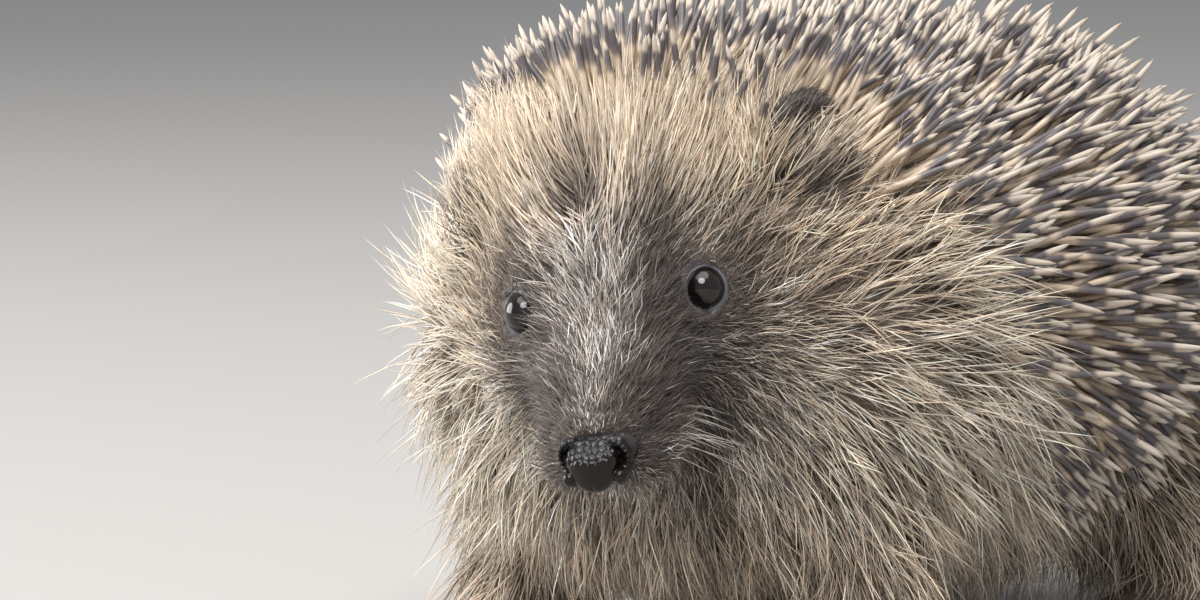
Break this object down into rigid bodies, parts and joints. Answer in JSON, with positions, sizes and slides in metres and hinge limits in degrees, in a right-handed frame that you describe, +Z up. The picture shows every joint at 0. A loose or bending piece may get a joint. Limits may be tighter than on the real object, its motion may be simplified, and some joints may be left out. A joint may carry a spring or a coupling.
{
  "type": "european hedgehog figure",
  "caption": "Life-size still model of a European hedgehog standing on all fours, head turned and bowed, with spiny back, furred face and skirt.",
  "frame": {"origin": "on the ground, under the middle of the box round the whole animal", "axes": "+Z up; the animal faces -Y, so +Y is towards its tail; +X is its left"},
  "size_m": [0.1204, 0.2138, 0.1051],
  "materials": {
    "spines": "dense stiff spines, banded cream, slate brown and cream at the tip",
    "fur": "coarse beige and grey-brown hair",
    "dark_fur": "short dark brown-grey hair",
    "bare_skin": "bare wrinkled brown-grey skin",
    "wet_skin": "moist black skin",
    "eyeball": "wet glossy black",
    "horn": "smooth grey-brown horn"
  },
  "bodies": {
    "root": {"belly_and_flanks": "fur", "ear_left": "dark_fur", "ear_right": "dark_fur", "eye_left": "eyeball", "eye_right": "eyeball", "front_claw_left_1": "horn", "front_claw_left_2": "horn", "front_claw_left_3": "horn", "front_claw_left_4": "horn", "front_claw_left_5": "horn", "front_claw_right_1": "horn", "front_claw_right_2": "horn", "front_claw_right_3": "horn", "front_claw_right_4": "horn", "front_claw_right_5": "horn", "front_foot_left": "bare_skin", "front_foot_right": "bare_skin", "front_leg_left": "dark_fur", "front_leg_right": "dark_fur", "head": "fur", "hind_claw_left_1": "horn", "hind_claw_left_2": "horn", "hind_claw_left_3": "horn", "hind_claw_left_4": "horn", "hind_claw_left_5": "horn", "hind_claw_right_1": "horn", "hind_claw_right_2": "horn", "hind_claw_right_3": "horn", "hind_claw_right_4": "horn", "hind_claw_right_5": "horn", "hind_foot_left": "bare_skin", "hind_foot_right": "bare_skin", "hind_leg_left": "dark_fur", "hind_leg_right": "dark_fur", "lower_jaw": "fur", "neck": "fur", "nose": "wet_skin", "snout": "fur", "spiny_back": "spines", "tail": "bare_skin"}
  },
  "joints": []
}
